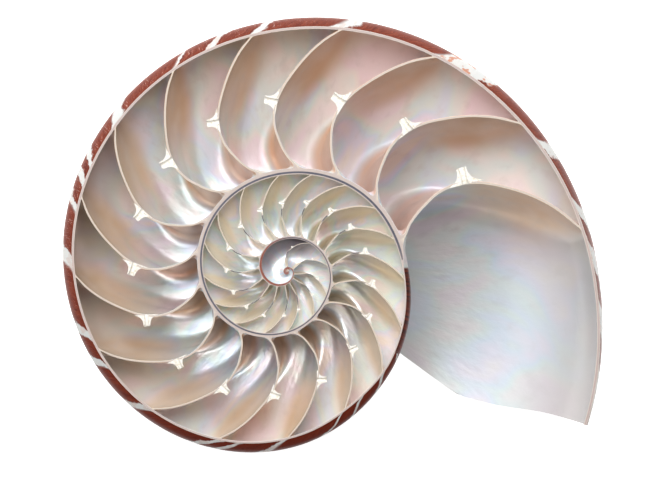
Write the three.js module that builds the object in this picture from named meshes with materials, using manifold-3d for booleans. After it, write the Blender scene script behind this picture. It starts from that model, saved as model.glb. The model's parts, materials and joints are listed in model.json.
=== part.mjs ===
// One half of a chambered nautilus shell, sawn just beside its plane of symmetry and lying on its
// rounded side with the sawn face up. Units are millimetres, +Z is up.
//
// The shell is drawn in its own coil frame first: the coil's axis is Z, the sawn face is the plane
// Z = 0 with all the shell below it, and "turn" is the angle in degrees counted back along the coil
// from the mouth towards the centre. Everything is sized from EDGE_RADII, the radius of the coil's
// outer edge at each eighth of a turn.
import * as THREE from "three";
import { mergeVertices } from "three/addons/utils/BufferGeometryUtils.js";
import Module from "manifold-3d";

const wasm = await Module();
wasm.setup();

// Radius of the coil's outer edge every 45 degrees of turn, from just past the mouth to the centre.
const FIRST_TURN = -45;
const TURN_STEP = 45;
const EDGE_RADII = [
  99.3, 88.1, 79.0, 71.6, 67.1, 63.2, 57.6, 50.0, 40.8, 34.4, 31.6, 28.8, 27.1, 24.8, 21.6, 17.5,
  14.1, 12.5, 11.1, 9.9, 9.0, 7.45, 5.25, 3.3, 2.2, 1.8, 1.5,
];

// Turn at which each septum meets the outer wall, the youngest first.
const SEPTUM_TURNS = [
  8.5, 32.5, 55.5, 77.5, 98.5, 119.5, 140, 160, 181, 202.5, 225.5, 248, 270.5, 293, 313.5, 334,
  356.5, 377, 396, 416, 436, 455, 477, 499.5, 520.5, 543, 563.5, 585, 610, 631, 662, 689, 728, 772,
];
const FIRST_CHAMBER_END = 1000; // turn where the oldest chamber closes
const LARGE_CHAMBERS = 17; // chambers drawn with the finer steps
const NECK_COUNT = 16; // septa whose neck is large enough to model as a solid

// Half of the shell's section as shares of the edge radius: [distance from the axis, depth].
const TUCK = 0.036; // how far the wall of an inner whorl leans in at the saw cut
const FLANK_DEPTH = 0.39; // depth of a chamber at its deepest
const RIM_DEPTH = 2.4; // how far in mm the wall of the last whorl leans in at the saw cut
const MOUTH_RIM_DEPTH = 0.6; // the same at the mouth
const CALLUS_DEPTH = 25; // depth in mm of the plug that closes the navel
const ABOVE_CUT = 1; // how far a cutting solid stands above the sawn face
const FACET_SPREAD = 1.004; // lets the flat faces of the outside stand as wide as the curve they follow
const SKIN = 0.15; // thinnest coat of nacre over the whorl beneath

// The mouth's edge: turn at shares of the edge radius, from the navel out to the keel.
const MOUTH_EDGE = [
  [0, -36.5],
  [0.6, -36.3],
  [0.71, -33.6],
  [0.88, -28.8],
  [1, -27],
];
const BEYOND_MOUTH = -46;

// A septum's line as shares of its sweep, at heights across the chamber from dorsal to ventral:
// where the saw meets it, and where it is sealed to the flank.
const SAWN_LINE = [
  [-0.4, 0.33],
  [0, 0.36],
  [0.03, 0.45],
  [0.1, 0.7],
  [0.21, 0.88],
  [0.34, 0.97],
  [0.42, 0.96],
  [0.55, 0.83],
  [0.7, 0.59],
  [0.85, 0.33],
  [0.94, 0.15],
  [1, 0],
];
const SUTURE = [
  [-0.4, 0.75],
  [0, 0.9],
  [0.07, 1.03],
  [0.155, 1.1],
  [0.24, 1.05],
  [0.32, 0.94],
  [0.45, 0.66],
  [0.57, 0.4],
  [0.7, 0.17],
  [0.85, 0.01],
  [1, 0],
];

// The siphon's neck behind each septum, as shares of the edge radius.
const NECK_PLACE = 0.675;
const NECK_LENGTH = 0.066;
const NECK_BASE = 0.032;
const NECK_RADIUS = 0.016;
const NECK_BORE = 0.008;
const NECK_SIDES = 8;

// Rest pose: how far the half leans to lie steadily, and the coil angle it leans towards.
const LEAN_DEG = 10;
const LEAN_TOWARDS_DEG = 130;

const { degToRad, lerp, clamp, smoothstep } = THREE.MathUtils;

// Value at x of straight runs between [x, value] points.
function along(points, x) {
  let i = 1;
  while (i < points.length - 1 && x > points[i][0]) i += 1;
  const [x0, y0] = points[i - 1];
  const [x1, y1] = points[i];
  return lerp(y0, y1, clamp((x - x0) / (x1 - x0), 0, 1));
}

// Point at a share of a smooth curve through [x, y] points.
function curvePoint(points, at) {
  return new THREE.SplineCurve(points.map(([x, y]) => new THREE.Vector2(x, y))).getPoint(at);
}

// Radius of the coil's outer edge at any turn: a smooth curve through the radii's logarithms.
function edgeRadius(turn) {
  const place = (turn - FIRST_TURN) / TURN_STEP;
  const last = EDGE_RADII.length - 1;
  const log = (k) => Math.log(EDGE_RADII[clamp(k, 0, last)]);
  if (place >= last) return Math.exp(log(last) + (place - last) * (log(last) - log(last - 1)));
  const i = Math.floor(Math.max(0, place));
  const t = place - i;
  const rise = (log(i + 1) - log(i - 1)) / 2;
  const nextRise = (log(i + 2) - log(i)) / 2;
  const chord = log(i + 1) - log(i);
  const bend = 3 * chord - 2 * rise - nextRise;
  const twist = rise + nextRise - 2 * chord;
  return Math.exp(log(i) + t * (rise + t * (bend + t * twist)));
}

const wallThickness = (radius) => 0.013 * radius + 0.22;
const septumThickness = (radius) => 0.0105 * radius + 0.17;

// How far the wall leans in at the saw cut, as a share of the edge radius.
function tuckAt(turn) {
  const rim = lerp(MOUTH_RIM_DEPTH, RIM_DEPTH, smoothstep(turn, -30, 45)) / edgeRadius(turn);
  return lerp(rim, TUCK, smoothstep(turn, 290, 320));
}

// Outer face of the wall at one turn: from the saw cut round the flank to the plug in the navel.
function outerSection(turn, at) {
  const r = edgeRadius(turn);
  const tuck = tuckAt(turn);
  return curvePoint(
    [
      [(1 - tuck) * r, 0],
      [(1 - 0.25 * tuck) * r, 0.03 * r],
      [r, 0.065 * r],
      [0.985 * r, 0.115 * r],
      [0.93 * r, 0.19 * r],
      [0.82 * r, 0.27 * r],
      [0.66 * r, 0.345 * r],
      [0.5 * r, 0.39 * r],
      [0.36 * r, 0.4 * r],
      [0.24 * r, lerp(0.39 * r, CALLUS_DEPTH, 0.15)],
      [0.13 * r, lerp(0.37 * r, CALLUS_DEPTH, 0.55)],
      [0.05 * r, lerp(0.34 * r, CALLUS_DEPTH, 0.9)],
      [0, CALLUS_DEPTH],
    ],
    at,
  );
}

// Inner face of the wall: a chamber's outer side from the saw cut to its horn at the navel.
function flankSection(turn, at) {
  const r = edgeRadius(turn);
  const q = edgeRadius(turn + 360);
  const wall = wallThickness(r);
  const tuck = tuckAt(turn);
  return curvePoint(
    [
      [(1 - tuck) * r - wall, 0],
      [(1 - 0.25 * tuck) * r - wall, 0.03 * r],
      [r - wall, 0.065 * r],
      [0.985 * r - wall, 0.113 * r],
      [0.93 * r - 0.8 * wall, 0.19 * r - 0.6 * wall],
      [0.82 * r - 0.5 * wall, 0.27 * r - 0.9 * wall],
      [0.66 * r, 0.345 * r - wall],
      [0.5 * r, 0.39 * r - wall],
      [0.36 * r, 0.385 * r - wall],
      [0.27 * r, 0.345 * r - wall],
      [0.12 * r + 0.2 * q, 0.25 * r],
      [0.05 * r + 0.3 * q, 0.1 * r + 0.26 * q],
    ],
    at,
  );
}

// A chamber's inner side: the whorl beneath, under the coat of nacre laid over it.
function dorsalSection(turn, at) {
  const q = edgeRadius(turn + 360);
  const covered = smoothstep(turn, 0, 17);
  const coat = covered * 0.012 * q + SKIN;
  const tuck = lerp(TUCK, 0, covered);
  return curvePoint(
    [
      [(1 - tuck) * q + coat, 0],
      [(1 - 0.25 * tuck) * q + coat, 0.03 * q],
      [q + coat, 0.065 * q],
      [0.985 * q + coat, 0.12 * q],
      [0.93 * q + 0.8 * coat, 0.19 * q + 0.6 * coat],
      [0.82 * q + 0.5 * coat, 0.27 * q + coat],
      [0.66 * q, 0.345 * q + coat + SKIN],
      [0.5 * q, 0.39 * q + coat + SKIN],
      [0.36 * q, 0.41 * q + coat + SKIN],
    ],
    at,
  );
}

// How many degrees a septum's hollow reaches back: most in the last septum and in the first two.
function septumSweep(ventralTurn) {
  const youngest = 1.4 * (1 - smoothstep(ventralTurn, 15, 40));
  const fuller = smoothstep(ventralTurn, 120, 140) - smoothstep(ventralTurn, 165, 185);
  const flatter = 1.5 * (smoothstep(ventralTurn, 204, 226) - smoothstep(ventralTurn, 250, 270));
  const oldest = 5 * smoothstep(ventralTurn, 665, 690) + 15 * smoothstep(ventralTurn, 730, 770);
  return 17.5 + 0.006 * ventralTurn + youngest + fuller - flatter + oldest;
}

// A septum's reach at one place: the sawn line, easing to the suture on the flank.
function septumShare(ventralTurn, across, sunk) {
  const crown = 0.13 * (1 - smoothstep(ventralTurn, 8, 60)) * 4 * across ** 2 * (1 - across);
  const dorsalRise = 0.5 * smoothstep(ventralTurn, 290, 350) + 0.5 * smoothstep(ventralTurn, 730, 770);
  const dorsal = 0.35 * dorsalRise * Math.max(0, 1 - across / 0.2) ** 2;
  const sawn = along(SAWN_LINE, across) + Math.max(0, crown) + dorsal;
  return lerp(sawn, along(SUTURE, across), sunk ** 2);
}

// Turn of a septum at a place in the section, read again at the turn that it leads to.
function septumTurn(ventralTurn, radius, depth) {
  const sweep = septumSweep(ventralTurn);
  let turn = ventralTurn + 0.6 * sweep;
  for (let round = 0; round < 3; round += 1) {
    const r = edgeRadius(turn);
    const q = edgeRadius(turn + 360);
    const across = clamp((radius - q) / ((1 - tuckAt(turn)) * r - wallThickness(r) - q), -0.4, 1);
    const flankWidth = clamp((radius / r - 0.42) / 0.58, 0, 0.97);
    const sunk = clamp(depth / (FLANK_DEPTH * r * Math.sqrt(1 - flankWidth ** 2)), 0, 1);
    turn = ventralTurn + sweep * septumShare(ventralTurn, across, sunk);
  }
  return turn;
}

// Turn of one face of a septum: side is -1 for the face towards the mouth and 1 for its back.
function septumFace(ventralTurn, side, radius, depth) {
  const step = 0.02 * radius;
  const turn = septumTurn(ventralTurn, radius, depth);
  const acrossSlope = degToRad(septumTurn(ventralTurn, radius + step, depth) - turn) / step;
  const depthSlope = degToRad(septumTurn(ventralTurn, radius, depth + step) - turn) / step;
  const slant = Math.hypot(1 / radius, acrossSlope, depthSlope);
  const half = septumThickness(edgeRadius(ventralTurn)) / 2;
  return turn + side * THREE.MathUtils.radToDeg(Math.min(half * slant, (2.2 * half) / radius));
}

// Place on a chamber's cross-section: across runs from dorsal to ventral, down from saw to horn.
function chamberPlace(turn, across, down) {
  const inner = dorsalSection(turn, down);
  return inner.lerp(flankSection(turn, down), across);
}

function coilPoint(turn, place) {
  const angle = degToRad(turn);
  return new THREE.Vector3(place.x * Math.cos(angle), place.x * Math.sin(angle), -place.y);
}

// Point on a septum's face. The section is read again at the turn it leads to until both agree.
function septumPoint(ventralTurn, side, across, down) {
  let turn = ventralTurn;
  for (let round = 0; round < 4; round += 1) {
    const place = chamberPlace(turn, across, down);
    turn = septumFace(ventralTurn, side, place.x, place.y);
  }
  return turn;
}

// A closed solid from a grid of points: the six outer faces of a block of na x nb x nc cells.
function blockSolid(na, nb, nc, pointAt) {
  const positions = [];
  const known = new Map();
  const vertex = (a, b, c) => {
    const key = `${a},${b},${c}`;
    if (!known.has(key)) {
      known.set(key, positions.length / 3);
      positions.push(...pointAt(a, b, c).toArray());
    }
    return known.get(key);
  };
  const index = [];
  const face = (n, m, corner) => {
    for (let i = 0; i < n; i += 1) {
      for (let j = 0; j < m; j += 1) {
        const [p, q, r, s] = [corner(i, j), corner(i + 1, j), corner(i + 1, j + 1), corner(i, j + 1)];
        index.push(p, q, r, p, r, s);
      }
    }
  };
  face(nb, na, (b, a) => vertex(a, b, 0));
  face(na, nb, (a, b) => vertex(a, b, nc));
  face(nc, nb, (c, b) => vertex(0, b, c));
  face(nb, nc, (b, c) => vertex(na, b, c));
  face(na, nc, (a, c) => vertex(a, 0, c));
  face(nc, na, (c, a) => vertex(a, nb, c));
  const geometry = new THREE.BufferGeometry();
  geometry.setAttribute("position", new THREE.Float32BufferAttribute(positions, 3));
  geometry.setIndex(index);
  return solidFrom(geometry);
}

// Volume enclosed by an indexed geometry, negative where its faces point inwards.
function signedVolume(vertices, triangles) {
  const corner = (k) => new THREE.Vector3().fromArray(vertices, 3 * triangles[k]);
  let sum = 0;
  for (let k = 0; k < triangles.length; k += 3) {
    sum += corner(k).dot(corner(k + 1).cross(corner(k + 2)));
  }
  return sum / 6;
}

// A solid for joining and cutting, from any closed geometry.
function solidFrom(source) {
  const bare = source.clone();
  bare.deleteAttribute("normal");
  bare.deleteAttribute("uv");
  const geometry = mergeVertices(bare, 1e-4);
  const vertices = Float32Array.from(geometry.attributes.position.array);
  const kept = [];
  const index = geometry.index.array;
  for (let k = 0; k < index.length; k += 3) {
    const [a, b, c] = [index[k], index[k + 1], index[k + 2]];
    if (a !== b && b !== c && c !== a) kept.push(a, b, c);
  }
  const outward = signedVolume(vertices, kept) > 0;
  const triangles = outward ? kept : kept.reverse();
  return new wasm.Manifold(
    new wasm.Mesh({ numProp: 3, vertProperties: vertices, triVerts: Uint32Array.from(triangles) }),
  );
}

// Everything inside the last whorl's outer face, from the mouth back one full turn, below the saw.
function outerBody() {
  const turns = 56;
  const rings = 12;
  const positions = [0, 0, 0];
  const vertex = (i, j) => 1 + i * rings + j;
  const pole = 1 + (turns + 1) * rings;
  const at = (i, j) => (j === rings ? pole : vertex(i, j));
  for (let i = 0; i <= turns; i += 1) {
    for (let j = 0; j < rings; j += 1) {
      const down = j / rings;
      const share = outerSection(0, down).x / edgeRadius(0);
      const turn = along(MOUTH_EDGE, share) + (360 * i) / turns;
      const place = outerSection(turn, down).multiplyScalar(FACET_SPREAD);
      positions.push(...coilPoint(turn, place).toArray());
    }
  }
  positions.push(0, 0, -CALLUS_DEPTH);
  const index = [];
  const quad = (p, q, r, s) => {
    if (p !== q) index.push(p, q, r);
    if (r !== s) index.push(p, r, s);
  };
  for (let j = 0; j < rings; j += 1) {
    for (let i = 0; i < turns; i += 1) quad(at(i, j), at(i, j + 1), at(i + 1, j + 1), at(i + 1, j));
    quad(at(turns, j), at(turns, j + 1), at(0, j + 1), at(0, j));
  }
  index.push(0, at(turns, 0), at(1, 0), at(turns, 0), at(0, 0), at(1, 0));
  for (let i = 1; i < turns; i += 1) index.push(0, at(i, 0), at(i + 1, 0));
  const geometry = new THREE.BufferGeometry();
  geometry.setAttribute("position", new THREE.Float32BufferAttribute(positions, 3));
  geometry.setIndex(index);
  return solidFrom(geometry);
}

// The space between two limits along the coil, each a turn found from the place in the section.
function chamberSolid(youngLimit, oldLimit, across, down, steps) {
  return blockSolid(across, down + 1, steps, (a, b, c) => {
    const acrossShare = (a / across) ** 1.4;
    const downShare = Math.max(0, b - 1) / down;
    const young = youngLimit(acrossShare, downShare);
    const old = oldLimit(acrossShare, downShare);
    const turn = lerp(young, old, c / steps);
    const point = coilPoint(turn, chamberPlace(turn, acrossShare, downShare));
    if (b === 0) point.z = ABOVE_CUT;
    return point;
  });
}

function chambers() {
  const solids = [];
  const limit = (k, side) => (across, down) => septumPoint(SEPTUM_TURNS[k], side, across, down);
  solids.push(chamberSolid(() => BEYOND_MOUTH, limit(0, -1), 9, 9, 8));
  for (let k = 0; k < SEPTUM_TURNS.length; k += 1) {
    const large = k < LARGE_CHAMBERS;
    const last = k === SEPTUM_TURNS.length - 1;
    const old = last ? () => FIRST_CHAMBER_END : limit(k + 1, -1);
    const steps = last ? 14 : 2;
    solids.push(chamberSolid(limit(k, 1), old, large ? 6 : 4, large ? 5 : 4, steps));
  }
  return solids;
}

// Axis of a septum's neck: it stands square to the septum's back in the plane of the saw.
function neckFrame(ventralTurn) {
  const radius = NECK_PLACE * edgeRadius(ventralTurn + 15);
  const turn = septumTurn(ventralTurn, radius, 0);
  const step = 0.02 * radius;
  const slope = degToRad(septumTurn(ventralTurn, radius + step, 0) - turn) / step;
  const angle = degToRad(turn);
  const outward = new THREE.Vector3(Math.cos(angle), Math.sin(angle), 0);
  const back = new THREE.Vector3(-Math.sin(angle), Math.cos(angle), 0);
  const axis = back.addScaledVector(outward, -slope * radius).normalize();
  return { base: outward.clone().multiplyScalar(radius), axis, scale: edgeRadius(ventralTurn) };
}

// A solid of revolution on a neck's axis, from a profile in shares of the edge radius.
function neckLathe(frame, profile) {
  const points = profile.map(([x, y]) => new THREE.Vector2(x, y).multiplyScalar(frame.scale));
  const geometry = new THREE.LatheGeometry(points, NECK_SIDES);
  const turnUp = new THREE.Quaternion().setFromUnitVectors(new THREE.Vector3(0, 1, 0), frame.axis);
  geometry.applyQuaternion(turnUp);
  geometry.translate(frame.base.x, frame.base.y, frame.base.z);
  return solidFrom(geometry);
}

function neck(frame) {
  return neckLathe(frame, [
    [0, -0.002],
    [NECK_BASE, -0.002],
    [NECK_RADIUS, 0.4 * NECK_LENGTH],
    [1.1 * NECK_RADIUS, NECK_LENGTH],
    [0, NECK_LENGTH],
  ]);
}

function neckBore(frame) {
  return neckLathe(frame, [
    [0, -0.02],
    [NECK_BORE, -0.02],
    [NECK_BORE, 1.1 * NECK_LENGTH],
    [0, 1.1 * NECK_LENGTH],
  ]);
}

function shellGeometry() {
  let solid = outerBody();
  for (const space of chambers()) solid = solid.subtract(space);
  for (const ventralTurn of SEPTUM_TURNS.slice(0, NECK_COUNT)) {
    const frame = neckFrame(ventralTurn);
    solid = solid.add(neck(frame)).subtract(neckBore(frame));
  }
  const aboveSaw = new THREE.BoxGeometry(400, 400, 40).translate(0, 0, 20);
  solid = solid.subtract(solidFrom(aboveSaw));
  const { vertProperties, triVerts } = solid.getMesh();
  const geometry = new THREE.BufferGeometry();
  geometry.setAttribute("position", new THREE.BufferAttribute(Float32Array.from(vertProperties), 3));
  geometry.setIndex(Array.from(triVerts));
  return geometry;
}

const nacre = new THREE.MeshStandardMaterial({
  name: "nacre",
  color: "#e6d8cd",
  roughness: 0.35,
  metalness: 0,
});

const shell = new THREE.Mesh(shellGeometry(), nacre);
shell.name = "shell_half";

// Lean the half over about a level axis, then put the origin under the middle of its box.
const leanAxis = degToRad(LEAN_TOWARDS_DEG + 90);
const axis = new THREE.Vector3(Math.cos(leanAxis), Math.sin(leanAxis), 0);
shell.quaternion.setFromAxisAngle(axis, degToRad(LEAN_DEG));
shell.updateMatrixWorld(true);
const box = new THREE.Box3().setFromObject(shell, true);
const middle = box.getCenter(new THREE.Vector3());
shell.position.set(-middle.x, -middle.y, -box.min.z);

const part = new THREE.Group();
part.add(shell);
export default part;
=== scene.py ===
# %% [markdown]
# # Half of a chambered nautilus shell
# The shell was sawn just beside its plane of symmetry, so the cut lays open the spiral, the
# walls between its gas chambers and the living chamber at the mouth. The half rests on its
# rounded flank. This notebook loads the packed model as a fixed frame, builds a finer shell in
# its place and gives it mother of pearl inside and a flame-patterned outside.

# %% Load the frame
import json
import math

import bmesh
import bpy
import numpy as np
from mathutils import Matrix, Vector, noise
from mathutils.geometry import delaunay_2d_cdt


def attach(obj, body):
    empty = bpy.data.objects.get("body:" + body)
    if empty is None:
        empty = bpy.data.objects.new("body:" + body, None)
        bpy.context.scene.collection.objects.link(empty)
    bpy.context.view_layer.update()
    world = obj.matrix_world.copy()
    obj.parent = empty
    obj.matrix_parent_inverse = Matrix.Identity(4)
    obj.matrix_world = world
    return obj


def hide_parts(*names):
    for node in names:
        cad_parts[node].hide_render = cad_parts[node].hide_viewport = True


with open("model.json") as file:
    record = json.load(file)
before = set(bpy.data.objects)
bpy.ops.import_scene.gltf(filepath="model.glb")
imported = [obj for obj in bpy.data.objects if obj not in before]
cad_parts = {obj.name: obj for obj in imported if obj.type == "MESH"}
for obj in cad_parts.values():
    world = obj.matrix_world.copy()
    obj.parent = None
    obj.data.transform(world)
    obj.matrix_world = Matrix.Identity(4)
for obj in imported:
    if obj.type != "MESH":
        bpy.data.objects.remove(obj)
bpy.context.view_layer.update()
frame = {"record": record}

# %% [markdown]
# ## The coil frame
# A nautilus grows by adding the same shape again, a little larger, so every size follows from
# the radius of its outer edge. Places are worked out in the coil's own frame: its axis is Z,
# the sawn face is Z = 0, and the turn is counted in degrees back from the mouth. A formula could
# give the radii, but a real shell grows in spurts, so they are stated every 45 degrees.

# %% Growth of the coil
MM = 0.001
FIRST_TURN = -45
TURN_STEP = 45
EDGE_RADII = np.array([
    99.3, 88.1, 79.0, 71.6, 67.1, 63.2, 57.6, 50.0, 40.8, 34.4, 31.6, 28.8, 27.1, 24.8, 21.6, 17.5,
    14.1, 12.5, 11.1, 9.9, 9.0, 7.45, 5.25, 3.3, 2.2, 1.8, 1.5,
])


def lerp(a, b, t):
    return a + (b - a) * t


def smoothstep(x, low, high):
    t = np.clip((np.asarray(x, float) - low) / (high - low), 0, 1)
    return t * t * (3 - 2 * t)


def smooth_piece(start, chord, slope, next_slope, t):
    """A curve over a chord that leaves with one slope and arrives with the next."""
    bend = slope + next_slope - 2 * chord
    return start + t * (slope + t * (3 * chord - 2 * slope - next_slope + t * bend))


def edge_radius(turn):
    """Radius of the coil's outer edge in millimetres."""
    logs = np.log(EDGE_RADII)
    last = len(logs) - 1
    place = (np.asarray(turn, float) - FIRST_TURN) / TURN_STEP
    i = np.clip(np.floor(place), 0, last - 1).astype(int)
    before, start, end, after = [logs[np.clip(i + k, 0, last)] for k in (-1, 0, 1, 2)]
    inside = smooth_piece(start, end - start, (end - before) / 2, (after - start) / 2, place - i)
    beyond = logs[last] + (place - last) * (logs[last] - logs[last - 1])
    return np.exp(np.where(place >= last, beyond, inside))


print("edge radius mm, a turn apart", [round(float(edge_radius(t)), 1) for t in (0, 360, 720)])

# %% [markdown]
# ## How thick the shell is
# The outer wall and the septa thicken with the coil, and the wall leans in a little towards
# the cut, where the keel begins to round off. These sizes are functions of the radius or the
# turn, because every later step asks for them.

# %% Wall, septum and the lean of the rim
TUCK = 0.036
RIM_DEPTH = 2.8
MOUTH_RIM_DEPTH = 0.6


def tuck_at(turn):
    """How far the wall leans in at the saw cut, as a share of the edge radius."""
    rim = lerp(MOUTH_RIM_DEPTH, RIM_DEPTH, smoothstep(turn, -30, 45)) / edge_radius(turn)
    return lerp(rim, TUCK, smoothstep(turn, 290, 320))


def wall_thickness(radius):
    """The wall in millimetres; the few turns round the centre are thicker for their size."""
    centre = (1 - smoothstep(radius, 7, 10)) * smoothstep(radius, 2, 4.5)
    return 0.009 * radius + 0.12 + 0.3 * centre


def septum_thickness(radius):
    return 0.0075 * radius + 0.1


print("wall at the mouth mm", round(float(wall_thickness(edge_radius(0))), 2))

# %% [markdown]
# ## Sections of the whorl
# Cut across the coil, a whorl is a deep half oval. Its outer face, the inner face that the
# animal lined with nacre and the whorl beneath are three curves of one family: one row of
# points in shares of the radius, moved in or out by the thickness of a layer, with an end of
# its own for each. A smooth curve joins the points.

# %% Outer face, chamber side and whorl beneath
CALLUS_DEPTH = 25
SKIN = 0.12
FACE = [(1, 0), (1, 0.03), (1, 0.065), (0.985, 0.115), (0.93, 0.19), (0.82, 0.27), (0.66, 0.345),
        (0.5, 0.39), (0.36, 0.4)]
NAVEL = [(0.24, 0.39, 0.15), (0.13, 0.37, 0.55), (0.05, 0.34, 0.9), (0, 0, 1)]
COAT_SHIFTS = [(1, 0)] * 4 + [(0.8, 0.6), (0.5, 1)] + [(0, 1.3)] * 3
WALL_SHIFTS = [(-1, 0)] * 4 + [(-0.8, -0.6), (-0.5, -0.9)] + [(0, -1)] * 3


def pick(rows, k):
    """The kth row at each place, held at the first and the last row."""
    return np.take_along_axis(rows, np.asarray(np.clip(k, 0, len(rows) - 1))[None], 0)[0]


def curve_point(points, at):
    """Point at a share of a smooth curve through section points, each coordinate an array."""
    count = len(points) - 1
    place = np.asarray(at, float) * count
    i = np.clip(np.floor(place), 0, count - 1).astype(int)
    t = place - i
    xy = []
    for coordinate in range(2):
        rows = np.stack(np.broadcast_arrays(*[p[coordinate] for p in points], t)[:-1])
        before, start, end, after = [pick(rows, i + k) for k in (-1, 0, 1, 2)]
        xy.append(smooth_piece(start, end - start, (end - before) / 2, (after - start) / 2, t))
    return xy


def face_points(r, tuck, layer=0, shifts=COAT_SHIFTS):
    """The outer face's points, each moved by shares of the thickness of a layer."""
    leans = (tuck, 0.25 * tuck) + (0,) * 7
    return [((x - lean) * r + out * layer, y * r + sunk * layer)
            for (x, y), lean, (out, sunk) in zip(FACE, leans, shifts)]


def outer_section(turn, at):
    r = edge_radius(turn)
    navel = [(x * r, lerp(y * r, CALLUS_DEPTH, callus)) for x, y, callus in NAVEL]
    return curve_point(face_points(r, tuck_at(turn)) + navel, at)


def flank_section(turn, at):
    r, q = edge_radius(turn), edge_radius(turn + 360)
    wall = wall_thickness(r)
    face = face_points(r, tuck_at(turn), wall, WALL_SHIFTS)[:8]
    face[3] = (face[3][0], 0.113 * r)
    horn = [(0.36 * r, 0.385 * r - wall), (0.27 * r, 0.345 * r - wall),
            (0.12 * r + 0.2 * q, 0.25 * r), (0.05 * r + 0.3 * q, 0.1 * r + 0.26 * q)]
    return curve_point(face + horn, at)


def dorsal_section(turn, at):
    q = edge_radius(turn + 360)
    covered = smoothstep(turn, 0, 17)
    coat = covered * (0.008 * q + SKIN)
    face = face_points(q, TUCK * (1 - covered), coat)
    face[3] = (face[3][0], (0.115 + 0.005 * covered) * q)
    face[8] = (0.36 * q, (0.4 + 0.01 * covered) * q + 1.3 * coat)
    return curve_point(face, at)


print("whorl depth mm at the mouth", round(float(outer_section(0.0, 7 / 12)[1]), 1))

# %% [markdown]
# ## Septa
# Each chamber wall, or septum, is a shallow dish hollow towards the mouth. Two lines fix its
# form: where the saw meets it, and the suture where it is sealed to the flank. Both say how far
# back along the coil they reach, from the whorl beneath to the outer wall. Between them the dish
# falls off with the square of the depth, which gives it its bowl.

# %% Septum lines
SEPTUM_TURNS = [
    8.5, 32.5, 55.5, 77.5, 98.5, 119.5, 140, 160, 181, 202.5, 225.5, 248, 270.5, 293, 313.5, 334,
    356.5, 377, 396, 416, 436, 455, 477, 499.5, 520.5, 543, 563.5, 585, 610, 631, 662, 689, 728, 772,
]
FIRST_CHAMBER_END = 1120
SAWN_LINE = np.array([
    (-0.4, 0.33), (0, 0.36), (0.03, 0.45), (0.1, 0.7), (0.21, 0.88), (0.34, 0.97), (0.42, 0.96),
    (0.55, 0.83), (0.7, 0.59), (0.85, 0.33), (0.94, 0.15), (1, 0),
])
SUTURE = np.array([
    (-0.4, 0.75), (0, 0.9), (0.07, 1.03), (0.155, 1.1), (0.24, 1.05), (0.32, 0.94), (0.45, 0.66),
    (0.57, 0.4), (0.7, 0.17), (0.85, 0.01), (1, 0),
])


def along(points, x):
    """Value at x on a smooth line through [x, value] points that never swings past them."""
    xs, ys = points[:, 0], points[:, 1]
    runs = np.diff(ys) / np.diff(xs)
    product, total = runs[1:] * runs[:-1], runs[1:] + runs[:-1]
    slopes = np.where(product > 0, 2 * product / np.where(total == 0, 1, total), 0)
    slopes = np.concatenate([runs[:1], slopes, runs[-1:]])
    x = np.clip(x, xs[0], xs[-1])
    i = np.clip(np.searchsorted(xs, x, side="right") - 1, 0, len(xs) - 2)
    width = xs[i + 1] - xs[i]
    slope, next_slope = slopes[i] * width, slopes[i + 1] * width
    return smooth_piece(ys[i], ys[i + 1] - ys[i], slope, next_slope, (x - xs[i]) / width)


print("septa", len(SEPTUM_TURNS))


# %% Septum surface
FLANK_DEPTH = 0.39
BEYOND_WALL = 0.97
THICKEST_SLANT = 2.2


def septum_sweep(ventral):
    """How many degrees a septum's hollow reaches back."""
    youngest = 1.4 * (1 - smoothstep(ventral, 15, 40))
    fuller = smoothstep(ventral, 120, 140) - smoothstep(ventral, 165, 185)
    flatter = 1.5 * (smoothstep(ventral, 204, 226) - smoothstep(ventral, 250, 270))
    oldest = 5 * smoothstep(ventral, 665, 690) + 15 * smoothstep(ventral, 730, 770)
    return 17.5 + 0.006 * ventral + youngest + fuller - flatter + oldest


def septum_share(ventral, across, sunk):
    """A septum's reach at one place: the sawn line, easing to the suture on the flank."""
    crown = 0.13 * (1 - smoothstep(ventral, 8, 60)) * 4 * across ** 2 * (1 - across)
    dorsal_rise = 0.5 * smoothstep(ventral, 290, 350) + 0.5 * smoothstep(ventral, 730, 770)
    dorsal = 0.35 * dorsal_rise * np.maximum(0, 1 - across / 0.2) ** 2
    sawn_line = along(SAWN_LINE, across) + np.maximum(0, crown) + dorsal
    return lerp(sawn_line, along(SUTURE, across), sunk ** 2)


def septum_turn(ventral, radius, depth):
    """Turn of a septum at a place in the section, read again at the turn that it leads to."""
    sweep = septum_sweep(ventral)
    turn = ventral + 0.6 * sweep
    for _ in range(3):
        r, q = edge_radius(turn), edge_radius(turn + 360)
        across = np.clip((radius - q) / ((1 - tuck_at(turn)) * r - wall_thickness(r) - q), -0.4, 1)
        width = np.clip((radius / r - 0.42) / 0.58, 0, BEYOND_WALL)
        sunk = np.clip(depth / (FLANK_DEPTH * r * np.sqrt(1 - width ** 2)), 0, 1)
        turn = ventral + sweep * septum_share(ventral, across, sunk)
    return turn


def septum_face(ventral, side, radius, depth):
    """Turn of the face towards the mouth, side -1, or of the back, side 1."""
    step = 0.02 * radius
    turn = septum_turn(ventral, radius, depth)
    across_slope = np.radians(septum_turn(ventral, radius + step, depth) - turn) / step
    depth_slope = np.radians(septum_turn(ventral, radius, depth + step) - turn) / step
    slant = np.sqrt(1 / radius ** 2 + across_slope ** 2 + depth_slope ** 2)
    half = septum_thickness(edge_radius(ventral)) / 2
    return turn + side * np.degrees(np.minimum(half * slant, THICKEST_SLANT * half / radius))


def chamber_place(turn, across, down):
    """Radius and depth at a share across the whorl and a share down its section."""
    dorsal, flank = dorsal_section(turn, down), flank_section(turn, down)
    return lerp(dorsal[0], flank[0], across), lerp(dorsal[1], flank[1], across)


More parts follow.
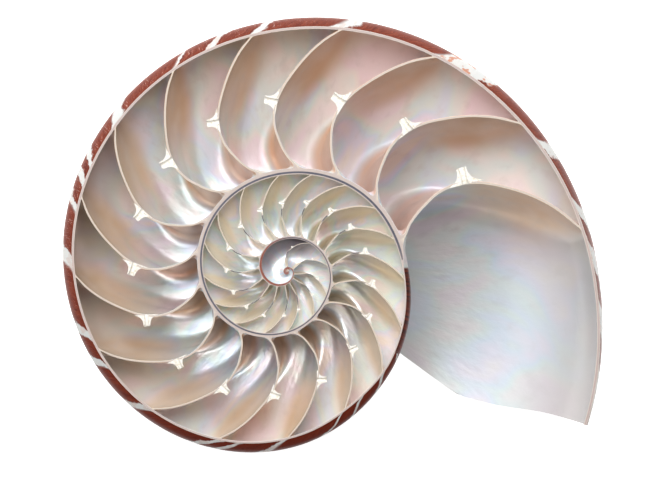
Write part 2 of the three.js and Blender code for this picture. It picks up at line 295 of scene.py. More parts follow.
def face_turn(ventral, side, across, down):
    """The section is read again at the turn it leads to, until both agree."""
    turn = np.full(np.broadcast(across, down).shape, float(ventral))
    for _ in range(5):
        radius, depth = chamber_place(turn, across, down)
        turn = septum_face(ventral, side, radius, depth)
    return turn


print("youngest septum, degrees back", round(float(septum_turn(SEPTUM_TURNS[0], 60.0, 0.0)), 1))

# %% [markdown]
# ## The shell mesh
# Modelling tools can't follow a growing spiral whose section changes all the way, so this one
# mesh is laid out point by point. Every chamber is a bag of rings, from the sawn face down to
# the navel. A ring is a rectangle with rounded corners between two septa and two whorls, and
# the corners give the webs that a real septum ends in. All parts share their points, so the
# shell is one closed skin. Seven values are kept at each point for the finishes: the turn, the
# place across the wall, how far it is on a septum, whether it is outside, its depth, how far
# back it lies in its chamber and its height in the whorl.

# %% Mesh builder
OUTSIDE, INSIDE, SAWN, CHALK = 0, 1, 2, 3
KEPT = ("turn", "wall", "septum", "outside", "depth", "back", "height")


class ShellSkin:
    """Points, faces and the values kept at each point."""

    def __init__(self):
        self.points, self.values, self.faces, self.kinds = [], [], [], []
        self.count = 0

    def add(self, turn, radius, depth, wall, septum, outside, back=0, height=None):
        """Adds a block of points and returns their numbers in the same layout."""
        if height is None:
            inner, outer = edge_radius(turn + 360), edge_radius(turn)
            height = (radius - inner) / (outer - inner)
        turn, radius, depth, wall, septum, outside, back, height = np.broadcast_arrays(
            *[np.asarray(v, float) for v in (turn, radius, depth, wall, septum, outside, back, height)])
        angle = np.radians(turn)
        place = np.stack([radius * np.cos(angle), radius * np.sin(angle), -depth], -1)
        self.points.append(place.reshape(-1, 3))
        kept = np.stack([turn, wall, septum, outside, depth, back, height], -1)
        self.values.append(kept.reshape(-1, len(KEPT)))
        numbers = self.count + np.arange(turn.size).reshape(turn.shape)
        self.count += turn.size
        return numbers

    def sheet(self, grid, kind):
        """Quads over a grid of point numbers."""
        quads = np.stack([grid[:-1, :-1], grid[1:, :-1], grid[1:, 1:], grid[:-1, 1:]], -1).reshape(-1, 4)
        self.faces += [list(dict.fromkeys(quad)) for quad in quads.tolist()]
        self.kinds += [kind] * len(quads)

    def all_points(self):
        return np.concatenate(self.points)


skin = ShellSkin()
print("values kept at each point", KEPT)

# %% Rings round a chamber
MOST_ROUNDED = 0.32
CLOSER_INSIDE = 1.2


def bag_rows(rows):
    """Shares down a chamber: closest together in the bowl that shows, few in the hidden horn."""
    return np.interp(np.linspace(0, 1, rows + 1), [0, 0.3, 0.88, 1], [0, 0.4, 0.75, 1])[:, None]


def web_radii(size, down):
    """Radii of the webs between septum and walls: sharp in the saw cut, softer down the bowl."""
    sunk = smoothstep(down[:, 0], 0, 0.4)
    return lerp(0.02, 0.05, sunk) * size, lerp(0.006, 0.055, sunk) * size


def rounding(radius, span):
    """Share of a side that a rounded corner takes up, one row a ring."""
    return np.minimum(MOST_ROUNDED, radius / span)[:, None]


def ring_path(along_walls, along_septum, corner, fillets, spans):
    """Across and back shares round a chamber, one row a ring, with its corners rounded off."""
    t = np.linspace(0, 1, along_septum + 1)[1:-1]
    bend = np.linspace(0, math.pi / 2, corner + 1)
    w = np.linspace(0, 1, along_walls + 1)[1:-1]
    (inner_fillet, outer_fillet), (across_span, inner_span, outer_span) = fillets, spans
    ai, ao = rounding(inner_fillet, across_span), rounding(outer_fillet, across_span)
    ci, co = rounding(inner_fillet, inner_span), rounding(outer_fillet, outer_span)
    out, home = t ** CLOSER_INSIDE, t[::-1] ** CLOSER_INSIDE
    across = np.hstack([
        0 * w + 0 * ai, ai * (1 - np.cos(bend)), lerp(ai, 1 - ao, out), 1 - ao * (1 - np.sin(bend)),
        1 + 0 * w + 0 * ai, 1 - ao * (1 - np.cos(bend)), lerp(ai, 1 - ao, home),
        ai * (1 - np.sin(bend)),
    ])
    back = np.hstack([
        lerp(ci, 1 - ci, w), 1 - ci * (1 - np.sin(bend)), 1 + 0 * t + 0 * ai, 1 - co * (1 - np.cos(bend)),
        lerp(1 - co, co, w), co * (1 - np.sin(bend)), 0 * t + 0 * ai, ci * (1 - np.cos(bend)),
    ])
    parts = [len(w), corner + 1, len(t), corner + 1, len(w), corner + 1, len(t), corner + 1]
    ramp = np.linspace(0, 1, corner + 1)
    septum = np.hstack([0 * w, ramp, 0 * t + 1, 1 - ramp, 0 * w, -ramp, 0 * t - 1, ramp - 1])
    wall = np.hstack([0 * w + 1, 1 + 0 * ramp, 1 - t, 0 * ramp, 0 * w, 0 * ramp, t, 1 + 0 * ramp])
    return across, back, septum, wall, parts


print("first rows down a chamber", bag_rows(33)[:3, 0].round(3))

# %% Lines of points and the saw's small chamfer
SAW_CHAMFER = 0.12


def outward_step(ring, closed=True):
    """Level unit vectors that point out of a ring of points, away from the space inside it."""
    ahead, behind = np.roll(ring, -1, 0), np.roll(ring, 1, 0)
    if not closed:
        ahead[-1], behind[0] = ring[-1], ring[0]
    run = (ahead - behind)[:, :2]
    area = np.sum(ring[:, 0] * np.roll(ring, -1, 0)[:, 1] - ring[:, 1] * np.roll(ring, -1, 0)[:, 0])
    normal = np.stack([run[:, 1], -run[:, 0]], -1) * math.copysign(1, area)
    return normal / np.maximum(np.linalg.norm(normal, axis=1, keepdims=True), 1e-9)


def zip_lines(first, second, kind):
    """Triangles between two lines of point numbers that run the same way."""
    places = skin.all_points()
    shares = []
    for line in (first, second):
        runs = np.linalg.norm(np.diff(places[line], axis=0), axis=1)
        shares.append(np.concatenate([[0], np.cumsum(runs) / max(runs.sum(), 1e-9)]))
    i = j = 0
    while i < len(first) - 1 or j < len(second) - 1:
        step_first = j == len(second) - 1 or (
            i < len(first) - 1 and shares[0][i + 1] <= shares[1][j + 1])
        if step_first:
            corners = [first[i], first[i + 1], second[j]]
            i += 1
        else:
            corners = [first[i], second[j + 1], second[j]]
            j += 1
        if len(set(corners)) == 3:
            skin.faces.append([int(n) for n in corners])
            skin.kinds.append(kind)


def chamfer_width(turn):
    return SAW_CHAMFER * septum_thickness(edge_radius(turn))


def saw_ring(turn, radius, wall, septum, outside, closed=True, inwards=1):
    """The ring of a mouth in the sawn face, set back from the mouth's edge by a small chamfer."""
    angle = np.radians(turn)
    flat = np.stack([radius * np.cos(angle), radius * np.sin(angle)], -1)
    flat = flat + inwards * outward_step(flat, closed) * chamfer_width(turn)[:, None]
    new_turn = np.degrees(np.arctan2(flat[:, 1], flat[:, 0]))
    new_turn = new_turn + 360 * np.round((turn - new_turn) / 360)
    return skin.add(new_turn, np.hypot(flat[:, 0], flat[:, 1]), 0 * turn, wall, septum, outside)


print("chamfer mm at the mouth", round(float(chamfer_width(0)), 3))

# %% [markdown]
# ## Closed chambers
# The animal sealed off 33 chambers behind it as it grew, and the first one lies at the centre.
# Each is made of rings from the sawn face down to the navel, skinned with quads and zipped shut
# along the bottom. Large chambers get more points, so the mesh stays under 200,000 triangles.

# %% Make the closed chambers
CHAMBER_GRIDS = {8: (33, 9, 32, 6), 17: (26, 8, 26, 5), 34: (14, 6, 18, 3)}
FIRST_CHAMBER_WALLS = 44
FIRST_CHAMBER_EASE = 20
HOLLOW_SHIFT = 14
THINNEST_CHAMBER = 0.2
mouth_rings = []


def closed_chamber(k):
    """Rings, skin and mouth ring of the chamber behind septum k, counted from the mouth."""
    last = k == len(SEPTUM_TURNS) - 1
    rows, walls, faces, corner = next(grid for end, grid in CHAMBER_GRIDS.items() if k < end)
    if last:
        walls = FIRST_CHAMBER_WALLS
    down = bag_rows(rows)
    young_turn = SEPTUM_TURNS[k]
    old_turn = FIRST_CHAMBER_END - FIRST_CHAMBER_EASE if last else SEPTUM_TURNS[k + 1]
    middle = (young_turn + old_turn) / 2 + HOLLOW_SHIFT
    dorsal, flank = dorsal_section(middle, down[:, 0]), flank_section(middle, down[:, 0])
    gap = math.radians(old_turn - young_turn)
    thick = septum_thickness(edge_radius(young_turn))
    spans = (np.hypot(flank[0] - dorsal[0], flank[1] - dorsal[1]),
             np.maximum(dorsal[0] * gap - thick, THINNEST_CHAMBER),
             np.maximum(flank[0] * gap - thick, THINNEST_CHAMBER))
    size = edge_radius(young_turn)
    across, back, septum, wall, _ = ring_path(walls, faces, corner, web_radii(size, down), spans)
    young = face_turn(young_turn, 1, across, down)
    old = 0 * young + FIRST_CHAMBER_END if last else face_turn(SEPTUM_TURNS[k + 1], -1, across, down)
    turn = lerp(young, old, back)
    radius, depth = chamber_place(turn, across, down)
    depth[0] = chamfer_width(turn[0])
    bag = skin.add(turn, radius, depth, wall, septum, 0, back)
    ring = saw_ring(turn[0], radius[0], wall, septum, 0)
    mouth_rings.append(ring)
    grid = np.vstack([ring, bag])
    skin.sheet(np.hstack([grid, grid[:, :1]]), INSIDE)
    half = bag.shape[1] // 2
    start = walls - 1 + corner // 2
    last_row = np.roll(bag[-1], -start)
    zip_lines(list(last_row[:half + 1]), [last_row[0]] + list(last_row[:half - 1:-1]), INSIDE)


for k in range(len(SEPTUM_TURNS)):
    closed_chamber(k)
print("chambers", len(mouth_rings), "points", skin.count)

# %% [markdown]
# ## The outside
# Each whorl wraps round the one before it, so only the last one shows. The outside is one
# sheet that goes once round, from the lip of the mouth to where the whorl tucks under itself,
# and from the cut down to the navel. A spin can't make it, as its section grows all the way.

# %% Outside
SHEET_TURNS = 216
SHEET_ROWS = 54
FLANK_FIT = 0.9995
LIP_TURN = -30.0
MOUTH_DORSAL = -36.5
MOUTH_EDGE = np.array([(0, MOUTH_DORSAL), (0.6, -36.3), (0.71, -33.6), (0.88, -28.8), (1, -27)])
down = np.linspace(0, 1, SHEET_ROWS + 1)
mouth_share = outer_section(LIP_TURN, down)[0] / edge_radius(LIP_TURN)
mouth_turn = along(MOUTH_EDGE, mouth_share)
steps = np.linspace(0, 1, SHEET_TURNS + 1)[:, None]
sheet_turn = lerp(mouth_turn[None, :], MOUTH_DORSAL + 360, steps)
radius, depth = outer_section(sheet_turn, np.broadcast_to(down, sheet_turn.shape))
depth = depth * FLANK_FIT
depth[:, 0] = chamfer_width(sheet_turn[:, 0])
outside_grid = skin.add(sheet_turn, radius, depth, -1, 0, 1, 0, down)
outside_grid[:, -1] = outside_grid[0, -1]
rim = saw_ring(sheet_turn[:, 0], radius[:, 0], -1, 0, 1, closed=False, inwards=-1)
skin.sheet(np.hstack([rim[:, None], outside_grid]), OUTSIDE)
print("outside points", outside_grid.size)

# %% [markdown]
# ## The living chamber
# The animal lived in the last, open chamber. It is built like the closed ones, but its rings
# run from the lip along the inner whorl, across the youngest septum and back along the outer
# wall, so they stay open. They share points with the outside, and a narrow strip makes the lip.

# %% Make the living chamber
HIDDEN_SHARE = 8 / 12
BAG_ROWS = round(SHEET_ROWS * HIDDEN_SHARE)
LIVING_GRID = (52, 56, 7)
LIVING_MIDDLE = -8.0
INNER_LENGTH, OUTER_LENGTH = 0.9, 0.7
down = np.linspace(0, 1, BAG_ROWS + 1)[:, None]
dorsal = dorsal_section(LIVING_MIDDLE, down[:, 0])
flank = flank_section(LIVING_MIDDLE, down[:, 0])
spans = (np.hypot(flank[0] - dorsal[0], flank[1] - dorsal[1]),
         dorsal[0] * INNER_LENGTH, flank[0] * OUTER_LENGTH)
size = edge_radius(0)
across, back, septum, wall, parts = ring_path(*LIVING_GRID, web_radii(size, down), spans)
stop = sum(parts[:5])
across = np.hstack([0 * across[:, :1], across[:, :stop], 1 + 0 * across[:, :1]])
inner_run = np.linspace(0, 1, parts[0] + 2)[1:-1] * back[:, parts[0]][:, None]
outer_run = np.linspace(1, 0, parts[4] + 2)[1:] * back[:, stop - parts[4] - 1][:, None]
back = np.hstack([0 * back[:, :1], inner_run, back[:, parts[0]:stop - parts[4]], outer_run])
septum, wall = [np.concatenate([row[:1], row[:stop], row[stop - 1:stop]]) for row in (septum, wall)]
flank_share = flank_section(LIP_TURN, down)[0] / edge_radius(LIP_TURN)
young = lerp(MOUTH_DORSAL + 0 * across, along(MOUTH_EDGE, flank_share), across)
old = face_turn(SEPTUM_TURNS[0], -1, across, down)
turn = lerp(young, old, back)
radius, depth = chamber_place(turn, across, down)
depth[0] = chamfer_width(turn[0])
uncovered = (1 - smoothstep(turn, -3, 7)) * (across < 0.02)
living = skin.add(turn, radius, depth, wall, septum, uncovered, back)
living_rim = saw_ring(turn[0], radius[0], wall, septum, uncovered[0], closed=False)
living[:, 0] = outside_grid[-1, :BAG_ROWS + 1]
living_rim[0] = rim[-1]
skin.sheet(np.vstack([living_rim, living]), INSIDE)
half = living.shape[1] // 2
zip_lines(list(living[-1, :half + 1]), list(living[-1, :half - 1:-1]), INSIDE)
lip_outer = [rim[0]] + list(outside_grid[0])
lip_inner = [living_rim[-1]] + list(living[:, -1]) + list(outside_grid[-1, BAG_ROWS:])
zip_lines(lip_outer, lip_inner, OUTSIDE)
print("outside and living chamber", skin.count)

# %% [markdown]
# ## The sawn face
# What the saw leaves is flat, so it is filled between the outer rim and the rings of the
# chambers. Two spirals inside the wall of the inner whorls follow the edges of the dark layer
# that the next whorl has covered, so the finish can follow it. A constrained triangulation
# fills it all at once and keeps every ring and line as an edge.

# %% Lines of the dark layer
INK_FIRST_TURN, INK_LAST_TURN, INK_STEP = 366, 1180, 2.5
ink_turns = np.arange(INK_FIRST_TURN, INK_LAST_TURN, INK_STEP)
ink_edge = edge_radius(ink_turns)
near_centre = smoothstep(ink_turns, 700, 900)
ink_inner = (1 - TUCK) * ink_edge - lerp(0.3, 0.7, near_centre) * wall_thickness(ink_edge)
ink_rise = lerp(0.014, 0.026, near_centre) * smoothstep(ink_turns, 360, 372)
ink_outer = (1 - TUCK + ink_rise) * ink_edge
ink_lines = [skin.add(ink_turns, ink_inner, 0, 0.4, 0, 0), skin.add(ink_turns, ink_outer, 0, 0.6, 0, 0)]
print("dark layer points", 2 * len(ink_turns))

# %% Fill the sawn face
rim_loop = np.concatenate([rim, living_rim[1:]])
loops = [rim_loop] + mouth_rings
numbers = np.concatenate(loops + ink_lines)
level = skin.all_points()[:, :2]
edges, start = [], 0
for line, closed in [(loop, True) for loop in loops] + [(line, False) for line in ink_lines]:
    n = len(line)
    edges += [(start + i, start + (i + 1) % n) for i in range(n if closed else n - 1)]
    start += n
found = delaunay_2d_cdt([Vector(p) for p in level[numbers]], edges, [], 0, 1e-5)
places, triangles, origins = np.array(found[0]), np.array(found[2]), found[3]
centres = places[triangles].mean(1)
inside = np.zeros(len(centres), bool)
for loop in loops:
    for (x0, y0), (x1, y1) in zip(level[loop], np.roll(level[loop], -1, 0)):
        if y0 != y1:
            crosses = (y0 > centres[:, 1]) != (y1 > centres[:, 1])
            inside ^= crosses & (centres[:, 0] < (x1 - x0) * (centres[:, 1] - y0) / (y1 - y0) + x0)
print("sawn face", int(inside.sum()), "triangles,", sum(not o for o in origins), "new points")
lookup = np.array([numbers[o[0]] if o else -1 for o in origins])
for tri in lookup[triangles[inside]]:
    if tri.min() >= 0:
        skin.faces.append([int(n) for n in tri])
        skin.kinds.append(SAWN)

# %% [markdown]
# ## Laying the half down
# The half lies on its rounded flank, which tips it by ten degrees. The points themselves are
# turned and moved, so the object stays at the origin. The record's mount says where one known
# point of the sawn face lies, and that fixes the coil's centre.

# %% Lay the half down as it rests
LEAN_DEG = 10
LEAN_TOWARDS_DEG = 130
MOUNT_TURN, MOUNT_RADIUS = 17, 32.7
mount = frame["record"]["mounts"][0]
lean_axis = math.radians(LEAN_TOWARDS_DEG + 90)
lean = Matrix.Rotation(math.radians(LEAN_DEG), 3, (math.cos(lean_axis), math.sin(lean_axis), 0))
on_face = Vector((math.cos(math.radians(MOUNT_TURN)), math.sin(math.radians(MOUNT_TURN)), 0))
coil_centre = Vector(mount["pos_m"]) - lean @ (on_face * MOUNT_RADIUS * MM)
face_normal = lean @ Vector((0, 0, 1))
in_place = skin.all_points() * MM @ np.array(lean).T + np.array(coil_centre)
print("coil centre", [round(v, 5) for v in coil_centre])

# %% One closed mesh
mesh = bpy.data.meshes.new("shell")
mesh.from_pydata(in_place.tolist(), [], skin.faces)
values = np.concatenate(skin.values)
for column, name in enumerate(KEPT):
    mesh.attributes.new(name, "FLOAT", "POINT").data.foreach_set("value", values[:, column])
mesh.polygons.foreach_set("material_index", skin.kinds)
work = bmesh.new()
work.from_mesh(mesh)
loose = [v for v in work.verts if not v.link_faces]
bmesh.ops.delete(work, geom=loose, context="VERTS")
bmesh.ops.remove_doubles(work, verts=work.verts, dist=1e-7)
bmesh.ops.recalc_face_normals(work, faces=work.faces)
print("open edges", sum(len(e.link_faces) != 2 for e in work.edges))
print("volume cm3", round(work.calc_volume() * 1e6, 2))
work.to_mesh(mesh)
work.free()
shell = bpy.data.objects.new("shell", mesh)
bpy.context.scene.collection.objects.link(shell)
print("triangles", sum(len(p.vertices) - 2 for p in mesh.polygons))

# %% [markdown]
# ## A small kit for finishes
# A finish is a tree of shader nodes. The class below wraps one output socket, so that plain
# arithmetic on it adds the Math nodes, and `Finish.node` makes any other node from its
# settings and its inputs. A recipe reads better as a sum than as a list of wires.

# %% A value that can be used in sums
class Value:
    """An output socket that can be used in arithmetic."""

    def __init__(self, finish, socket):
        self.finish, self.socket = finish, socket

    def math(self, operation, other=0, flip=False):
        """A Math node on this value and another; flip puts the other first."""
        first, second = (other, self) if flip else (self, other)
        return self.finish.node("Math", {"operation": operation}, {0: first, 1: second})

    def __add__(self, other):
        return self.math("ADD", other)

    def __sub__(self, other):
        return self.math("SUBTRACT", other)

    def __rsub__(self, other):
        return self.math("SUBTRACT", other, flip=True)

    def __mul__(self, other):
        return self.math("MULTIPLY", other)

    def __truediv__(self, other):
        return self.math("DIVIDE", other)

    def __rtruediv__(self, other):
        return self.math("DIVIDE", other, flip=True)

    __radd__ = __add__
    __rmul__ = __mul__

    def dot(self, weights):
        """A number from a colour or vector."""
        return self.finish.node("VectorMath", {"operation": "DOT_PRODUCT"},
                                {0: self, 1: weights}, "Value")

    def ramp(self, low, high):
        """0 below low, 1 above high and smooth between; low may be the larger."""
        flip = low > high
        return self.finish.node("MapRange", {"interpolation_type": "SMOOTHSTEP"}, {
            "Value": self, "From Min": min(low, high), "From Max": max(low, high),
            "To Min": float(flip), "To Max": float(not flip)})


print("methods of a value", [name for name in vars(Value) if not name.startswith("_")])


# %% A finish and its nodes
def set_stops(ramp, stops):
    """Sets a colour ramp's stops, each a place from 0 to 1 and a colour."""
    while len(ramp.elements) < len(stops):
        ramp.elements.new(0.5)
    for element, (place, stop) in zip(ramp.elements, sorted(stops)):
        element.position = min(1, max(0, place))
        element.color = tuple(stop) + (1,)


MIX_FIRST, MIX_SECOND, MIX_RESULT = 6, 7, 2


class Finish:
    """One material and its shader."""

    def __init__(self, name, **constants):
        self.material = bpy.data.materials.new(name)
        self.material.use_nodes = True
        self.tree = self.material.node_tree
        self.shader = self.tree.nodes["Principled BSDF"]
        for socket, value in constants.items():
            self.shader.inputs[socket.replace("_", " ")].default_value = value

    def node(self, kind, settings=None, inputs=None, output=0):
        """Makes a node of a kind; settings are set first, and an input is a value or a link."""
        made = self.tree.nodes.new("ShaderNode" + kind)
        for name, value in (settings or {}).items():
            if name == "stops":
                set_stops(made.color_ramp, value)
            else:
                setattr(made, name, value)
        for name, value in (inputs or {}).items():
            socket = made.inputs[name]
            if isinstance(value, Value):
                self.tree.links.new(value.socket, socket)
            elif socket.type == "RGBA":
                socket.default_value = tuple(value) + (1,)
            else:
                socket.default_value = value
        return Value(self, made.outputs[output])

    def kept(self, *names):
        """Values kept at the mesh's points."""
        return [self.node("Attribute", {"attribute_name": n}, {}, "Fac") for n in names]

    def place(self):
        return self.node("TexCoord", {}, {}, "Object")

    def vector(self, x, y, z):
        return self.node("CombineXYZ", {}, {0: x, 1: y, 2: z})

    def noise(self, vector, scale, detail=3, roughness=0.5, distortion=0):
        return self.node("TexNoise", {}, {
            "Vector": vector, "Scale": scale, "Detail": detail, "Roughness": roughness,
            "Distortion": distortion})

    def mix(self, factor, first, second):
        """A colour between two, through the Mix node's own colour sockets."""
        inputs = {0: factor, MIX_FIRST: first, MIX_SECOND: second}
        return self.node("Mix", {"data_type": "RGBA"}, inputs, MIX_RESULT)

    def layers(self, surface, *tints):
        """Lays tints over a surface in turn, each given with its share."""
        for share, tint in tints:
            surface = self.mix(share, surface, tint)
        return surface

    def stops(self, factor, stops):
        return self.node("ValToRGB", {"stops": stops}, {"Fac": factor})

    def bump(self, relief, distance):
        """Feeds a relief from 0 to 1 to the normal; distance is its height in metres."""
        made = self.node("Bump", {}, {"Height": relief, "Distance": distance}, "Normal")
        self.wear(Normal=made)

    def wear(self, **links):
        """Links values to the shader's own sockets."""
        for name, value in links.items():
            self.tree.links.new(value.socket, self.shader.inputs[name.replace("_", " ")])


def colour(red, green, blue):
    """A colour as 0 to 255 on screen, turned into light."""
    return tuple(((c / 255 + 0.055) / 1.055) ** 2.4 if c > 10 else c / 255 / 12.92
                 for c in (red, green, blue))


print("mid grey as light", colour(128, 128, 128)[0])

# %% [markdown]
# ## Mother of pearl
# Nacre is a stack of thin clear plates that shines like satin and splits light into pastel
# pink, green and blue along the growth lines. A thin film in the shader could do it, but the
# export can't keep one, so the tints are painted: a noise stretched along the growth picks
# them, and a second tone follows the whorl from the mouth inwards.

# %% Pearl tints
nacre = Finish("nacre", Coat_Roughness=0.14)
turn, height, back = nacre.kept("turn", "height", "back")
septum, depth, bare = nacre.kept("septum", "depth", "outside")
along_growth = nacre.vector(turn * 0.06, height * 1.6, depth * 0.03)
drift = nacre.noise(nacre.place(), 70, 2)
bands = (nacre.noise(along_growth, 1.2, 2, 0.45, 0.5) - 0.5) * 1.35 + 0.5
pastel = nacre.stops(bands, [
    (0.26, colour(248, 216, 224)), (0.38, colour(244, 234, 222)), (0.48, colour(214, 240, 230)),
    (0.57, colour(204, 228, 250)), (0.67, colour(232, 220, 246)), (0.78, colour(250, 228, 212))])
whorl_tone = nacre.stops(turn / 1000, [
    (0.0, colour(242, 248, 255)), (0.1, colour(242, 240, 244)), (0.18, colour(234, 244, 254)),
    (0.3, colour(238, 246, 252)), (0.36, colour(240, 240, 238)), (0.6, colour(236, 240, 244)),
    (0.72, colour(200, 212, 228)), (0.77, colour(206, 216, 230)), (0.9, colour(226, 236, 242)),
    (1.0, colour(206, 216, 226))])
pearl = nacre.mix(0.55, whorl_tone, pastel)
print("pearl nodes", len(nacre.tree.nodes))

# %% Tan rims, partly painted shade, and painted shade in the corners
older = turn.ramp(270, 370)
# Painted shade in part: the septa's tan is their own warmer nacre, darkened in the upper chambers, whose
# faces turn down away from the lamp.
tan_and_shade_colour = nacre.mix(turn.ramp(80, 200), colour(212, 180, 148), colour(228, 204, 174))
tan_and_shade_colour = nacre.mix(turn.ramp(32, 24), tan_and_shade_colour, colour(234, 194, 154))
tan_and_shade_colour = nacre.mix(older, tan_and_shade_colour, colour(238, 224, 198))
tan_and_shade_colour = nacre.mix(turn.ramp(700, 740), tan_and_shade_colour, colour(196, 204, 212))
wedge_colour = nacre.mix(turn.ramp(20, 90), colour(224, 184, 166), colour(224, 180, 144))
wedge_colour = nacre.mix(older, wedge_colour, colour(232, 216, 186))
shade_colour = nacre.mix(older, colour(210, 188, 172), colour(206, 204, 196))
under_rim = height.ramp(0.84, 1.02) * 0.55
outer_part = height.ramp(0.34, 0.68)
near_older = back.ramp(0.66, 0.97) * (1 - height.ramp(0.9, 1.0)) * outer_part * 0.5
on_septum = septum.ramp(0.05, 0.7) * (0.08 + outer_part * 0.92)
# Painted shade: the outer part of the chambers on the left is darkened with a dull brown.
painted_outer_shade = height.ramp(0.55, 0.9) * turn.ramp(130, 165) * turn.ramp(240, 200) * 0.6
surface = nacre.layers(
    pearl, (under_rim, shade_colour), (near_older, tan_and_shade_colour), (on_septum, tan_and_shade_colour),
    (septum.ramp(-0.1, -0.7), wedge_colour), (painted_outer_shade, colour(170, 140, 112)))
print("with tan rims", len(nacre.tree.nodes))

# %% Clouds, painted shade in the mouth and the inner chambers, and shine
veins = nacre.noise(along_growth, 5, 3, 0.5, 0.15)
in_mouth = turn.ramp(14, -4)
# Painted shade: the living chamber darkens along the inner whorl, where its wall shades it.
dorsal_painted_shade = in_mouth * (1 - height.ramp(0.02, 0.42)) * (0.35 + back.ramp(0.3, 0.9) * 0.65)
# Painted shade: the innermost chambers darken towards their outer wall, which shades them.
last_painted_shade = turn.ramp(740, 785) * turn.ramp(935, 870) * height.ramp(0.25, 0.7)
bare_colour = nacre.mix(nacre.noise(turn, 0.5, 3).ramp(0.4, 0.6), colour(118, 52, 36), colour(70, 36, 32))
surface = nacre.layers(
    surface, (drift.ramp(0.35, 0.65) * 0.25, colour(250, 244, 242)),
    (veins.ramp(0.5, 0.75) * 0.25, colour(206, 196, 194)), (in_mouth * 0.35, colour(238, 248, 255)),
    (dorsal_painted_shade * 0.5, colour(186, 172, 160)),
    # Painted shade: the living chamber darkens towards its outer wall.
    (in_mouth * height.ramp(0.55, 1.0) * 0.7, colour(186, 180, 178)),
    (last_painted_shade * 0.85, colour(122, 110, 118)), (bare.ramp(0.4, 0.6), bare_colour))
ripple = nacre.noise(along_growth, 9, 3)
nacre.bump(ripple, 0.00008)
young = turn.ramp(12, 22) * turn.ramp(130, 60)
gloss = (0.5 - outer_part * 0.2) * (1 - young * 0.7)
nacre.wear(Base_Color=surface, Roughness=0.285 + bands * 0.1, Metallic=gloss,
           Coat_Weight=0.2 + turn.ramp(60, 150) * 0.3)
print("pearl nodes in all", len(nacre.tree.nodes))

# %% [markdown]
# ## Flame-patterned outside
# The outside is porcelain white with red-brown bands that slant back from the keel. From above
# only the keel shows, where the bands leave narrow white slashes. Each slash is given as a turn
# and a half width in degrees, and colour ramps make a tent of height over it. A limit on that
# height opens the slash into a wide white field further down the flank.

# %% White slashes
SLASHES = [
    (-20, 4), (-8, 3), (4, 3), (13, 1.6), (27, 1.5), (50.5, 5.5), (78.5, 1.5), (98, 1), (109, 1),
    (119, 0.5), (139, 1.8), (151.5, 0.8), (156.5, 1.3), (163.5, 1), (178, 2), (198.5, 1.5), (208, 1),
    (224.5, 1.5), (248.5, 1.5), (255, 1), (269, 1), (291, 0.6), (301, 0.6), (314, 1), (327, 1),
    (339, 1.5),
]
SLASHES_PER_RAMP = 7
RAMP_MARGIN = 12
flame = Finish("flame_outside", Coat_Weight=0.06, Coat_Roughness=0.2, Specular_IOR_Level=0.2)
turn, share = flame.kept("turn", "height")
place = flame.place()
wobble = flame.noise(place, 260, 4, 0.6)
coarse = flame.noise(place, 60, 2)
steeper = share * turn.ramp(190, 250) * 24
ragged = (wobble - 0.5) * 5
slanted = turn + share * 45 + steeper - share.ramp(0, 0.5) * 12 + ragged + (coarse - 0.5) * share * 40


def slash_height(x):
    """1 in the middle of a white slash, a half at its edges and 0 halfway to the next."""
    highest = None
    for first in range(0, len(SLASHES), SLASHES_PER_RAMP):
        group = SLASHES[first:first + SLASHES_PER_RAMP]
        low, high = group[0][0] - RAMP_MARGIN, group[-1][0] + RAMP_MARGIN
        stops = [(0, (0, 0, 0))]
        for number, (middle, half) in enumerate(group):
            if number:
                before = group[number - 1]
                between = (before[0] + before[1] + middle - half) / 2
                stops.append(((between - low) / (high - low), (0, 0, 0)))
            for turn_at, level in ((middle - half, 0.5), (middle, 1), (middle + half, 0.5)):
                stops.append(((turn_at - low) / (high - low), (level,) * 3))
        stops.append((1, (0, 0, 0)))
        tent = flame.stops((x - low) / (high - low), stops).dot((1 / 3, 1 / 3, 1 / 3))
        highest = tent if highest is None else highest.math("MAXIMUM", tent)
    return highest


slash = slash_height(slanted)
young_side = turn.ramp(60, -30) * share.ramp(0, 0.2)
limit = 0.5 - share.ramp(0.06, 0.5) * 0.32 - share.ramp(0.55, 0.8) * 0.3 - young_side * 0.3
white = (slash - limit + (wobble - 0.5) * 0.25).ramp(-0.05, 0.06)
print("white slashes", len(SLASHES))

# %% Brown bands and the outside's finish
growth = flame.noise(flame.vector(turn * 1.4, share * 2, 0.0), 2, 3)
streaks = flame.noise(flame.vector(slanted * 3, share * 5, 0.0), 2.2, 4, 0.6)
brown = flame.mix(streaks.ramp(0.3, 0.7), colour(80, 18, 8), colour(138, 62, 38))
# Painted shade: on the lower side of the coil the keel's brown is darker, as the keel there turns away
# from the lamp.
lower = flame.mix(streaks.ramp(0.3, 0.7), colour(72, 14, 4), colour(122, 44, 20))
brown = flame.mix(turn.ramp(170, 250), brown, lower)
brown = flame.mix(share.ramp(0.2, 0.55) * 0.6, brown, colour(176, 92, 54))
thin = (streaks * 0.6 + growth * 0.4).ramp(0.56, 0.66) * turn.ramp(70, 100) * turn.ramp(200, 170)
brown = flame.mix(thin * 0.7, brown, colour(226, 196, 184))
chalk_white = flame.mix(wobble, colour(212, 204, 198), colour(196, 204, 204))
freckle = flame.noise(place, 380, 2).ramp(0.54, 0.6) * (0.2 + turn.ramp(34, 42) * turn.ramp(66, 58) * 0.6)
chalk_white = flame.mix(freckle, chalk_white, colour(186, 108, 66))
outer_colour = flame.mix(white, brown, chalk_white)
flame.bump(growth * 0.7 + flame.noise(place, 1500, 2) * 0.2, 0.0002)
flame.wear(Base_Color=outer_colour, Roughness=0.3 + growth * 0.15)
print("outside nodes", len(flame.tree.nodes))

# %% [markdown]
# ## The sawn edge
# A saw leaves the cut matt and fine-grained: lilac grey in the wall, creamier along the septa
# and the outer rim. In the inner whorls the covered dark layer shows as a thin slate line that
# turns rust red near the centre. Ramps on the values kept at each point can draw all this.

